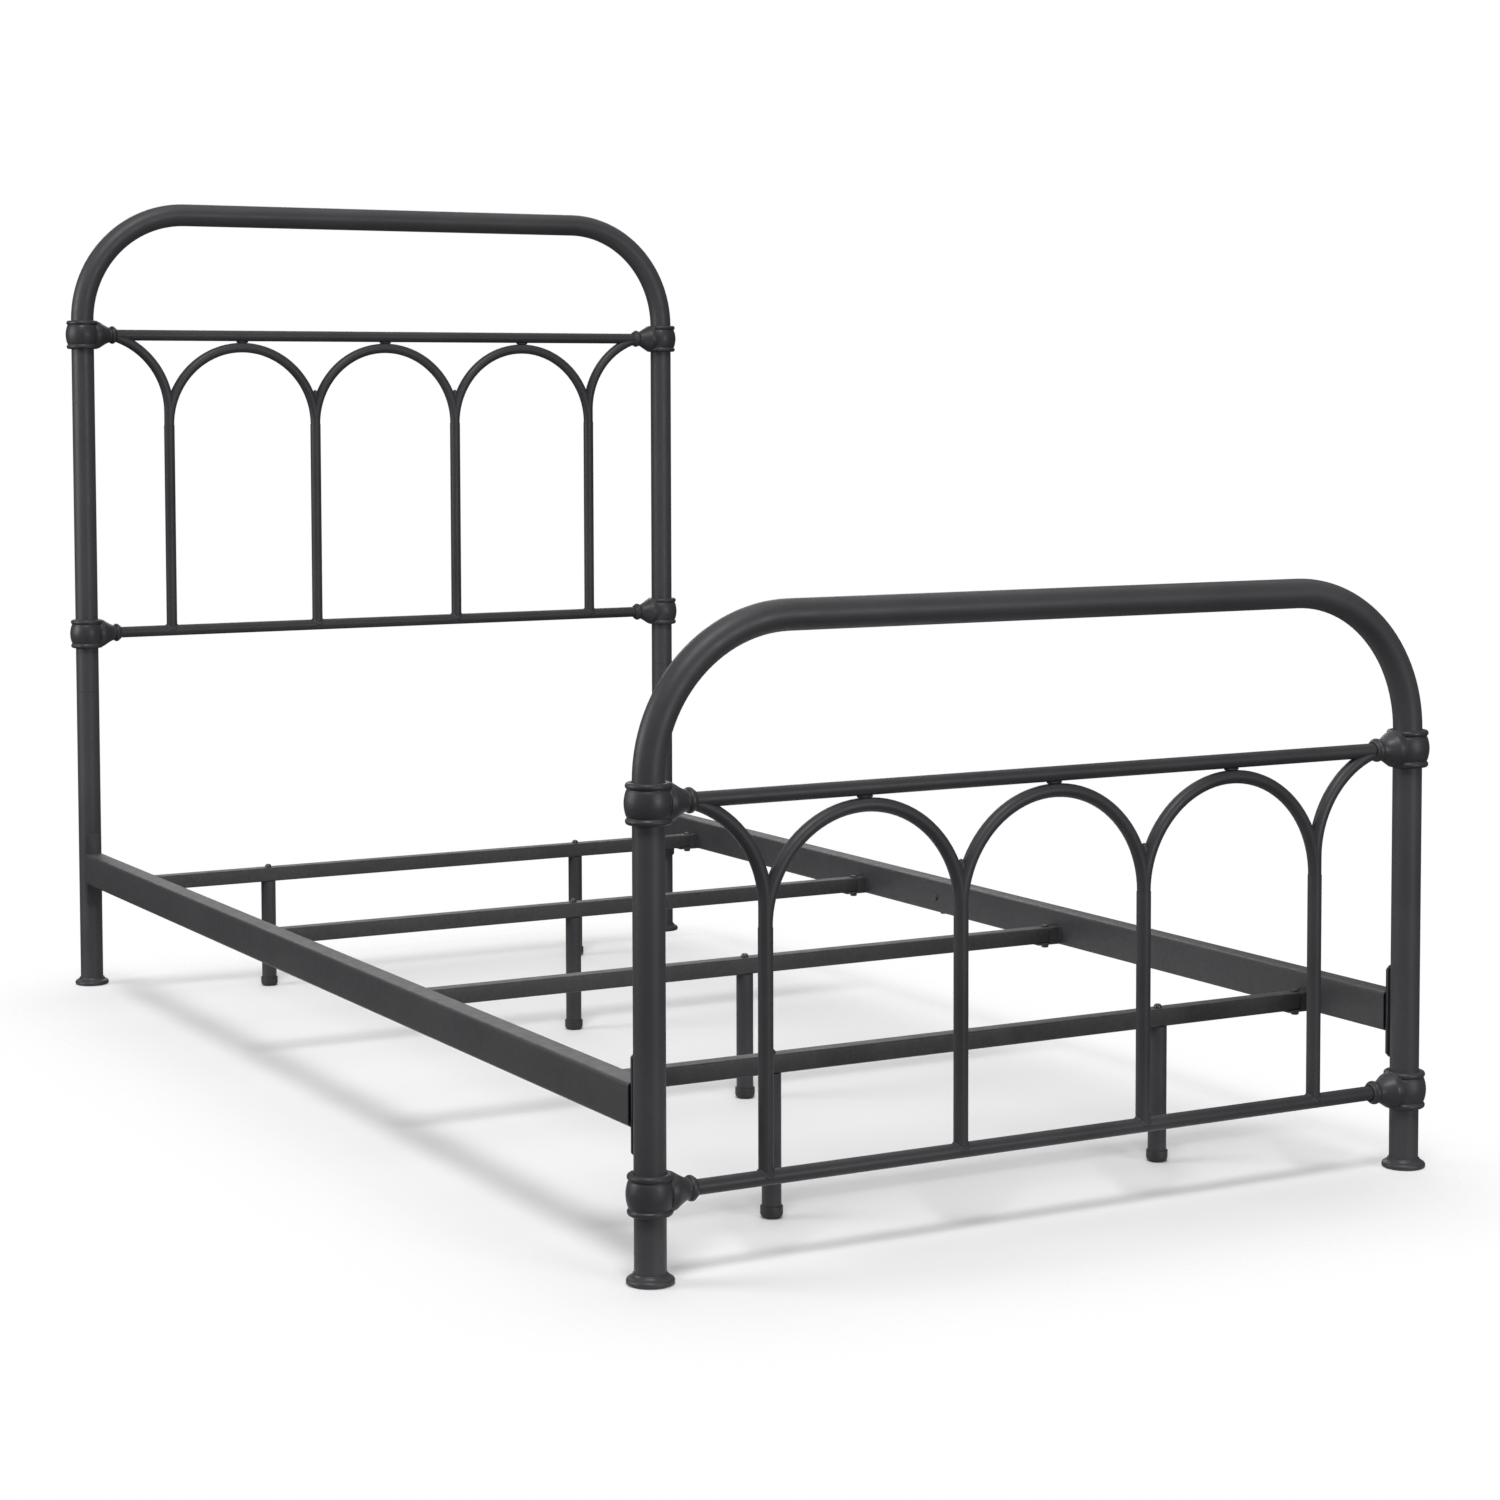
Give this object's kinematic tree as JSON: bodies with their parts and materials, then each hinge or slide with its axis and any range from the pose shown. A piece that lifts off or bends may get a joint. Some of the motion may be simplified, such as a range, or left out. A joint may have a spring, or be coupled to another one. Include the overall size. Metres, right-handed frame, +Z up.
{
  "type": "metal bed frame",
  "caption": "Iron bed frame: hooped head and foot ends with arched spindles, ball-and-collar cast joints, side rails hooked to the posts, and cross slats on legs.",
  "frame": {"origin": "centre of the footprint, at floor level", "axes": "X across the bed, +Y towards the headboard, +Z up"},
  "size_m": [1.093, 2.033, 1.2593],
  "materials": {
    "tube_paint": "satin charcoal paint with a fine texture",
    "casting_paint": "satin charcoal paint with a fine texture",
    "bar_paint": "satin charcoal paint with a fine texture",
    "rail_paint": "satin charcoal paint with a fine texture",
    "cap_plastic": "matte black plastic"
  },
  "bodies": {
    "root": {"foot_arch_1": "bar_paint", "foot_arch_2": "bar_paint", "foot_arch_3": "bar_paint", "foot_casting_lower_left": "casting_paint", "foot_casting_lower_right": "casting_paint", "foot_casting_upper_left": "casting_paint", "foot_casting_upper_right": "casting_paint", "foot_end_arc_left": "bar_paint", "foot_end_arc_right": "bar_paint", "foot_floor_flange_left": "casting_paint", "foot_floor_flange_right": "casting_paint", "foot_hoop_tube": "tube_paint", "foot_rod_lower": "bar_paint", "foot_rod_upper": "bar_paint", "foot_spindle_1": "bar_paint", "foot_spindle_2": "bar_paint", "foot_spindle_3": "bar_paint", "foot_spindle_4": "bar_paint", "head_arch_1": "bar_paint", "head_arch_2": "bar_paint", "head_arch_3": "bar_paint", "head_casting_lower_left": "casting_paint", "head_casting_lower_right": "casting_paint", "head_casting_upper_left": "casting_paint", "head_casting_upper_right": "casting_paint", "head_end_arc_left": "bar_paint", "head_end_arc_right": "bar_paint", "head_floor_flange_left": "casting_paint", "head_floor_flange_right": "casting_paint", "head_hoop_tube": "tube_paint", "head_leg_tube_left": "tube_paint", "head_leg_tube_right": "tube_paint", "head_rod_lower": "bar_paint", "head_rod_upper": "bar_paint", "head_spindle_1": "bar_paint", "head_spindle_2": "bar_paint", "head_spindle_3": "bar_paint", "head_spindle_4": "bar_paint", "hook_plate_foot_left": "rail_paint", "hook_plate_foot_right": "rail_paint", "hook_plate_head_left": "rail_paint", "hook_plate_head_right": "rail_paint", "leg_cap_1_left": "cap_plastic", "leg_cap_1_right": "cap_plastic", "leg_cap_2_middle": "cap_plastic", "leg_cap_3_middle": "cap_plastic", "leg_cap_4_left": "cap_plastic", "leg_cap_4_right": "cap_plastic", "side_rail_left": "rail_paint", "side_rail_right": "rail_paint", "slat_1": "rail_paint", "slat_2": "rail_paint", "slat_3": "rail_paint", "slat_4": "rail_paint", "support_leg_1_left": "rail_paint", "support_leg_1_right": "rail_paint", "support_leg_2_middle": "rail_paint", "support_leg_3_middle": "rail_paint", "support_leg_4_left": "rail_paint", "support_leg_4_right": "rail_paint"}
  },
  "joints": []
}
